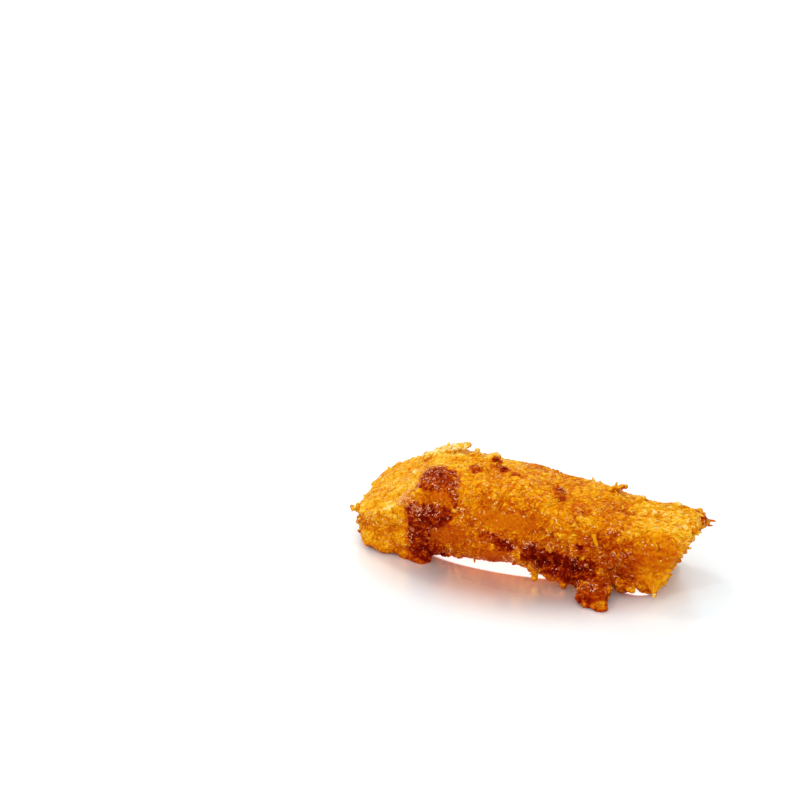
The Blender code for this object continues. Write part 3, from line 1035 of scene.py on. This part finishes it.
def fibre(draw, start, run, bend, width):
    """One torn fibre: a flat strip along a run, whose free end is moved by a bend."""
    start, run, bend = Vector(start), Vector(run), Vector(bend)
    aside = (bend - run * bend.dot(run) / run.length_squared).normalized()
    flat = run.normalized().cross(aside)
    points = []
    for i in range(FIBRE_RINGS):
        along = i / (FIBRE_RINGS - 1)
        middle = start + run * along + bend * along * along
        thick = width * math.sqrt(FIBRE_BLUNTNESS - along ** 4) * draw.uniform(*FIBRE_UNEVENNESS)
        for j in range(FIBRE_SIDES):
            turn = math.tau * j / FIBRE_SIDES
            profile = aside * math.cos(turn) * FIBRE_THICK + flat * math.sin(turn) * FIBRE_WIDE
            points.append(middle + profile * thick)
    return np.array([point[:] for point in points]), tube_faces(FIBRE_RINGS, FIBRE_SIDES)


def curled_fibre(draw, start, direction, lengths, bend, widths):
    """A fibre of random length, width and bend, which is square to it and at most a share of its length."""
    run = Vector(direction).normalized() * draw.uniform(*lengths)
    aside = run.orthogonal().normalized()
    aside.rotate(Matrix.Rotation(draw.uniform(0, math.tau), 3, run.normalized()))
    aside = aside * draw.uniform(*BEND_SHARES) * (bend * run.length)
    return fibre(draw, start, run, aside, draw.uniform(*widths))


def torn_fibres(skin, draw):
    """Fibres pulled out of the torn end's rim."""
    shapes = []
    for pick in draw.choices(rim_of(skin.places, skin.normals, *TORN_RIM), k=TORN_COUNT):
        normal = skin.normals[pick]
        direction = np.array(BREAK_NORMAL) + TORN_LEAN * normal + np.array(wander_by(draw, TORN_WANDER))
        start = skin.places[pick] - normal * TORN_SUNK
        points, faces = curled_fibre(draw, start, direction, TORN_LENGTHS, TORN_BEND, TORN_WIDTHS)
        shapes.append((above_floor(points), faces, draw.uniform(*TORN_TONES)))
    return shapes


def hooks(skin, draw):
    """Curled fibres that stand off the crust, most of them on its edges, and a little browner."""
    edges = smooth_step(crest_height(skin.crust.data, EDGE_ROUNDS) / EDGE_HEIGHT)
    weights = (skin.places[:, 2] > HOOK_LOWEST) * (HOOK_PLAIN_SHARE + edges)
    shapes = []
    for pick in pick_some(draw, weights * left_in_windows("hooks", skin.smooth), HOOK_COUNT):
        normal, tone = skin.normals[pick], skin.tone[pick]
        direction = normal + np.array(wander_by(draw, HOOK_WANDER))
        start = skin.places[pick] - normal * HOOK_SUNK
        points, faces = curled_fibre(draw, start, direction, HOOK_LENGTHS, HOOK_BEND, HOOK_WIDTHS)
        browner = HOOK_BROWN * (1.0 - tone) * skin.brown[pick]
        shapes.append((points, faces, tone + browner + draw.uniform(*HOOK_VARIETY)))
    return shapes


def make_shreds(skin, draw):
    """The torn fibres, the fine hooks and the single curls."""
    shapes = torn_fibres(skin, draw) + hooks(skin, draw)
    for start, end, bend, width, tone in CURLS:
        points, faces = fibre(draw, start, Vector(end) - Vector(start), bend, width)
        shapes.append((points, faces, tone))
    return joined_object("shreds", shapes)


def glint_weights(skin):
    """How likely a painted highlight fleck is at each vertex: on the crests, in the patches and in its own
    spots.
    """
    crowd = smooth_step(GLINT_CROWD_MEAN + wander(skin.places, GLINT_CROWD))
    share = GLINT_PLAIN_SHARE + GLINT_PATCH_SHARE * skin.brown * (skin.brown < GLINT_DARKEST)
    weights = share * left_in_windows("glints", skin.smooth) * crowd
    for centre, reach, share in GLINT_SPOTS:
        weights += share * fade(away_from(skin.places, centre, reach), *GLINT_SPOT_FADE)
    return weights * (crest_height(skin.crust.data, GLINT_ROUNDS) > 0.0) * (skin.places[:, 2] > GLINT_LOWEST)


def make_glints(skin, draw):
    """Short pale flecks on the crust's crests: painted highlights that stand for glints of light on wet fat.
    """
    faces = tube_faces(STRAND_RINGS, STRAND_SIDES)
    shapes = []
    for pick in pick_some(draw, glint_weights(skin), GLINT_COUNT):
        points = strand(draw, skin, pick, draw.uniform(*GLINT_LENGTHS), draw.uniform(*GLINT_WIDTHS))
        low, high = ROSY_TONES if skin.brown[pick] > GLINT_ROSY_BROWN else GOLDEN_TONES
        shapes.append((points, faces, low + (high - low) * draw.random() ** 2))
    return joined_object("glints", shapes)


def set_inputs(node, values):
    """Sets a node's inputs, by their names."""
    for name, value in values.items():
        node.inputs[name].default_value = value


def new_material(name):
    """A material with one shader, and that shader."""
    material = bpy.data.materials.new(name)
    material.use_nodes = True
    nodes = material.node_tree.nodes
    nodes.clear()
    output = nodes.new("ShaderNodeOutputMaterial")
    shader = nodes.new("ShaderNodeBsdfPrincipled")
    material.node_tree.links.new(shader.outputs["BSDF"], output.inputs["Surface"])
    return material, shader


def noise_node(tree, coordinates, size, detail, distortion=0.0, kind="FBM"):
    """Noise with features of a size in millimetres."""
    texture = tree.nodes.new("ShaderNodeTexNoise")
    texture.noise_type = kind
    set_inputs(texture, {"Scale": 1.0 / (size * MM), "Detail": detail, "Distortion": distortion})
    tree.links.new(coordinates, texture.inputs["Vector"])
    return texture.outputs["Fac"]


def math_node(tree, operation, first, second):
    """The result of a sum on two values, each a number or a socket."""
    node = tree.nodes.new("ShaderNodeMath")
    node.operation = operation
    for socket, value in zip(node.inputs, (first, second)):
        if isinstance(value, (int, float)):
            socket.default_value = value
        else:
            tree.links.new(value, socket)
    return node.outputs[0]


def spread(tree, value, share):
    """A 0 to 1 value as a change of plus or minus half a share."""
    return math_node(tree, "MULTIPLY", math_node(tree, "SUBTRACT", value, 0.5), share)


def tone_node(tree):
    """The tone kept on the mesh."""
    attribute = tree.nodes.new("ShaderNodeAttribute")
    attribute.attribute_name = "tone"
    return attribute.outputs["Fac"]


def tone_ramp(tree, tone, tones):
    """The colour that a table of tones gives a value."""
    ramp = tree.nodes.new("ShaderNodeValToRGB")
    colours = ramp.color_ramp
    colours.elements[0].position = tones[0][0]
    colours.elements[0].color = (*tones[0][1], 1.0)
    colours.elements[1].position = tones[-1][0]
    colours.elements[1].color = (*tones[-1][1], 1.0)
    for position, colour in tones[1:-1]:
        colours.elements.new(position).color = (*colour, 1.0)
    tree.links.new(tone, ramp.inputs["Fac"])
    return ramp.outputs["Color"]


def crust_material(name, roughness, specular, mottling, bump):
    """Fried crust: its tone from the mesh with finer mottling, oily gloss and a fine grain."""
    material, shader = new_material(name)
    tree = material.node_tree
    coordinates = tree.nodes.new("ShaderNodeTexCoord").outputs["Object"]
    strokes = noise_node(tree, coordinates, *STROKE_NOISE)
    mottle = spread(tree, noise_node(tree, coordinates, *MOTTLE_NOISE), mottling)
    # The strokes are paler where they stand up in the bump: partly the grain's own colour, partly painted
    # light on the raised strokes and painted shade between them.
    above_mean = math_node(tree, "SUBTRACT", strokes, STROKE_MEAN)
    stroke_grain_and_light = math_node(tree, "MULTIPLY", above_mean, -STROKE_SHARE * mottling)
    tone = math_node(tree, "ADD", tone_node(tree), math_node(tree, "ADD", mottle, stroke_grain_and_light))
    tree.links.new(tone_ramp(tree, tone, TONES), shader.inputs["Base Color"])
    gloss = spread(tree, noise_node(tree, coordinates, *GLOSS_NOISE), GLOSS_SPREAD)
    tree.links.new(math_node(tree, "ADD", gloss, roughness), shader.inputs["Roughness"])
    grain = tree.nodes.new("ShaderNodeBump")
    set_inputs(grain, {"Strength": bump, "Distance": STROKE_DEPTH * MM})
    tree.links.new(strokes, grain.inputs["Height"])
    tree.links.new(grain.outputs["Normal"], shader.inputs["Normal"])
    set_inputs(shader, {"Subsurface Weight": FLESH_SHARE, "Subsurface Radius": FLESH_RADII})
    set_inputs(shader, {"Subsurface Scale": FLESH_DEPTH * MM})
    set_inputs(shader, {"Specular IOR Level": specular, "Specular Tint": FAT_TINT})
    return material


def glint_material():
    """Painted highlights: pale flecks that stand for glints of light on wet fat."""
    material, shader = new_material("painted glint flecks")
    tree = material.node_tree
    tree.links.new(tone_ramp(tree, tone_node(tree), GLINT_TONES), shader.inputs["Base Color"])
    shader.inputs["Roughness"].default_value = GLINT_ROUGHNESS
    return material


def vector_node(tree, operation, first, second):
    """A vector sum on a socket and three numbers."""
    node = tree.nodes.new("ShaderNodeVectorMath")
    node.operation = operation
    node.inputs[1].default_value = second
    tree.links.new(first, node.inputs[0])
    return node


def ellipse_node(tree, coordinates, middle, reach):
    """How far the floor's points lie from a middle in the log's millimetres, 1 at the reach."""
    step = vector_node(tree, "SUBTRACT", coordinates, (Vector(middle) - BOX_CENTRE) * MM)
    shrink = (1.0 / (reach[0] * MM), 1.0 / (reach[1] * MM), 0.0)
    stretch = vector_node(tree, "MULTIPLY", step.outputs[0], shrink)
    away = tree.nodes.new("ShaderNodeVectorMath")
    away.operation = "LENGTH"
    tree.links.new(stretch.outputs[0], away.inputs[0])
    return away.outputs["Value"]


def fade_node(tree, value, limits, shares):
    """A share that goes smoothly from its first value to its last between two limits."""
    change = tree.nodes.new("ShaderNodeMapRange")
    change.interpolation_type = "SMOOTHSTEP"
    set_inputs(change, {"From Min": limits[0], "From Max": limits[1]})
    set_inputs(change, {"To Min": shares[0], "To Max": shares[1]})
    tree.links.new(value, change.inputs["Value"])
    return change.outputs["Result"]


def gap_node(tree, coordinates):
    """1 in the spots of lit floor under the raised foot and 0 elsewhere."""
    gap = 0.0
    for middle, reach in GAPS:
        spot = fade_node(tree, ellipse_node(tree, coordinates, middle, reach), GAP_FADE, GAP_SHARES)
        gap = math_node(tree, "MAXIMUM", spot, gap)
    return gap


def floor_material():
    """A pale glossy floor with light of its own, that mirrors the fry close to it and less further off."""
    material, shader = new_material("pale floor")
    tree = material.node_tree
    coordinates = tree.nodes.new("ShaderNodeTexCoord").outputs["Object"]
    away = ellipse_node(tree, coordinates, BOX_CENTRE, MIRROR_REACH)
    tree.links.new(fade_node(tree, away, MIRROR_FADE, MIRROR_SHARES), shader.inputs["Metallic"])
    lit = tree.nodes.new("ShaderNodeMix")
    lit.data_type = "RGBA"
    tree.links.new(gap_node(tree, coordinates), lit.inputs["Factor"])
    tree.links.new(tone_ramp(tree, math_node(tree, "DIVIDE", away, GLOW_REACH), GLOW_TONES), lit.inputs["A"])
    lit.inputs["B"].default_value = GAP_LIGHT
    tree.links.new(lit.outputs["Result"], shader.inputs["Emission Color"])
    set_inputs(shader, {"Emission Strength": 1.0, "Base Color": FLOOR_COLOUR, "Roughness": FLOOR_ROUGHNESS})
    return material


def make_floor():
    """The floor that the fry lies on, which isn't part of it."""
    bm = bmesh.new()
    bmesh.ops.create_grid(bm, x_segments=1, y_segments=1, size=FLOOR_REACH)
    mesh = bpy.data.meshes.new("floor")
    bm.to_mesh(mesh)
    bm.free()
    mesh.materials.append(floor_material())
    floor = link_object("floor", mesh)


def camera_axes():
    """The directions from the fry back to the camera, to the picture's right and up in the picture."""
    sin_a, cos_a = math.sin(CAMERA_AZIMUTH), math.cos(CAMERA_AZIMUTH)
    sin_e, cos_e = math.sin(CAMERA_ELEVATION), math.cos(CAMERA_ELEVATION)
    back = Vector((sin_a * cos_e, -cos_a * cos_e, sin_e))
    right = Vector((cos_a, sin_a, 0.0))
    up = Vector((-sin_a * sin_e, cos_a * sin_e, cos_e))
    return back, right, up


def make_camera():
    """The camera, aimed beside the fry so that it shows at the photograph's place."""
    back, right, up = camera_axes()
    look = -BOX_CENTRE + right * CAMERA_ASIDE[0] + up * CAMERA_ASIDE[1]
    data = bpy.data.cameras.new("camera")
    data.sensor_width = SENSOR_WIDTH
    data.lens = LENS
    camera = link_object("camera", data)
    camera.location = (look + back * CAMERA_DISTANCE) * MM
    camera.rotation_euler = back.to_track_quat("Z", "Y").to_euler()
    bpy.context.scene.camera = camera


def add_light(name, place, size, power):
    """A square light that shines at the frame's origin."""
    data = bpy.data.lights.new(name, "AREA")
    data.size = size
    data.energy = power
    data.color = LIGHT_COLOUR
    light = link_object(name, data)
    light.location = place
    light.rotation_euler = Vector(place).to_track_quat("Z", "Y").to_euler()


def make_lights():
    """Soft light from all round, three small lights, and how the picture shows them."""
    world = bpy.data.worlds.new("studio")
    bpy.context.scene.world = world
    world.use_nodes = True
    set_inputs(world.node_tree.nodes["Background"], {"Color": WORLD_COLOUR, "Strength": WORLD_STRENGTH})
    for light in LIGHTS:
        add_light(*light)
    bpy.context.scene.view_settings.view_transform = "Standard"
    bpy.context.scene.view_settings.gamma = GAMMA


def dress_fry():
    """The crust and the loose pieces on it."""
    draw = random.Random(SEED)
    crust = make_crust(draw)
    skin = skin_of(crust)
    crumbs = make_crumbs(skin, draw)
    strands = make_strands(skin, draw)
    shreds = make_shreds(skin, draw)
    glints = make_glints(skin, draw)
    crust.data.materials.clear()
    crust.data.materials.append(crust_material("fried crust", *CRUST_LOOK))
    crumbs.data.materials.append(crust_material("crumbs", *CRUMB_LOOK))
    strands.data.materials.append(crust_material("strands", *STRAND_LOOK))
    shreds.data.materials.append(crust_material("shreds", *SHRED_LOOK))
    glints.data.materials.append(glint_material())
    for piece in (crust, crumbs, strands, shreds, glints):
        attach(piece, "root")
        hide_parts("fry")


make_camera()
make_lights()
make_floor()
dress_fry()
